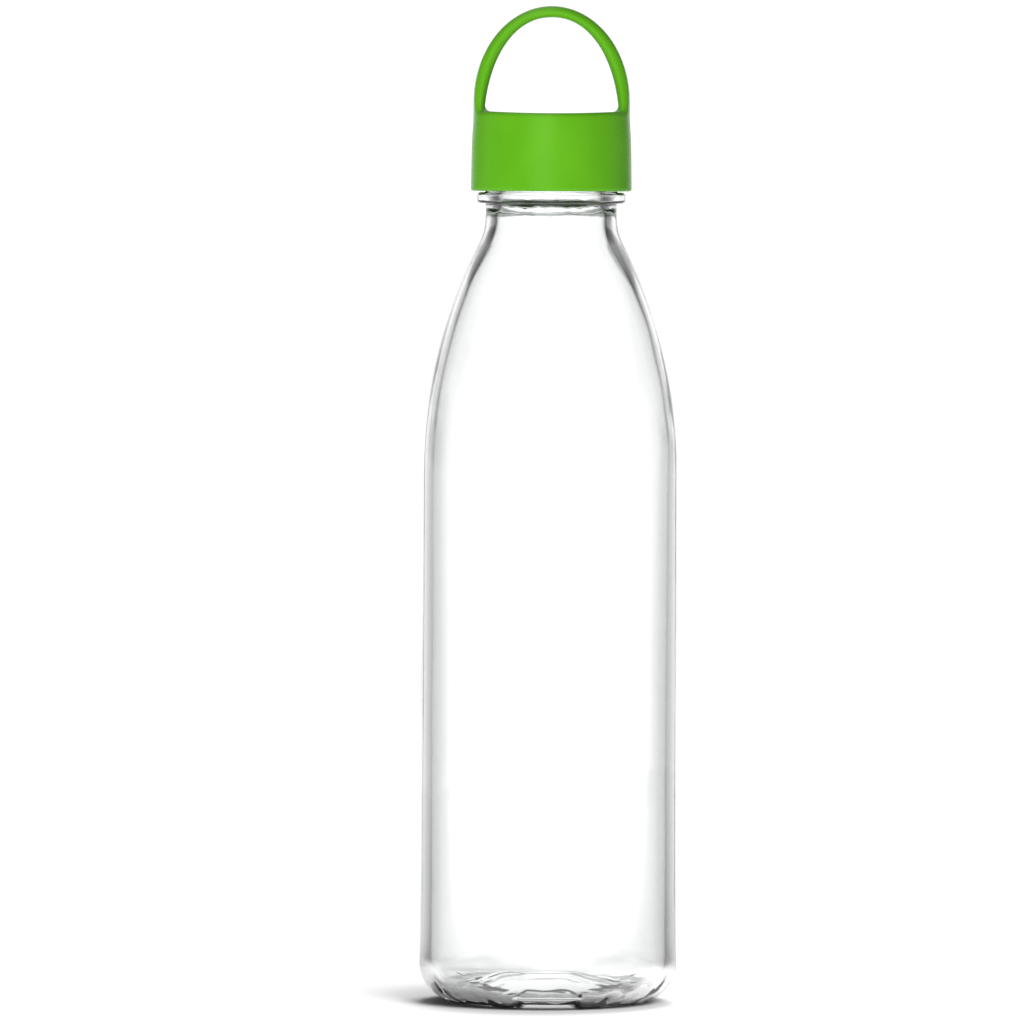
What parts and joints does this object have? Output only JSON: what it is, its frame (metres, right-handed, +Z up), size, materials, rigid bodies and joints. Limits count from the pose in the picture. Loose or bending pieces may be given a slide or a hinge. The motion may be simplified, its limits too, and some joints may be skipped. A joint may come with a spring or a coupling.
{
  "type": "glass water bottle",
  "caption": "Clear glass water bottle with a long sloping shoulder, a narrow threaded neck and a green screw cap whose moulding carries an arched loop handle.",
  "frame": {"origin": "centre of the base, on the surface that the bottle stands on", "axes": "+Z up along the bottle's axis, towards the cap; the loop handle lies in the XZ plane and opens towards -Y"},
  "size_m": [0.0696, 0.0696, 0.2683],
  "materials": {
    "glass": "clear moulded soda-lime glass, fire polished, with slight waves in its inner wall",
    "cap_green": "semi-gloss green moulded polypropylene",
    "seal_white": "matt translucent white silicone"
  },
  "bodies": {
    "bottle": {"glass_bottle": "glass"},
    "seal": {"cap_seal": "seal_white"},
    "cap": {"screw_cap": "cap_green"}
  },
  "joints": [
    {"name": "cap_lift", "type": "slide", "parent": "bottle", "child": "seal", "axis": [0, 0, 1], "range_m": [0, 0.0212]},
    {"name": "cap_turn", "type": "hinge", "parent": "seal", "child": "cap", "pos_m": [0, 0, 0.237], "axis": [0, 0, 1], "range_deg": [0, 1800]}
  ],
  "couplings": [
    {"joint": "cap_lift", "follows": "cap_turn", "m_per_rad": 0.00067376}
  ]
}
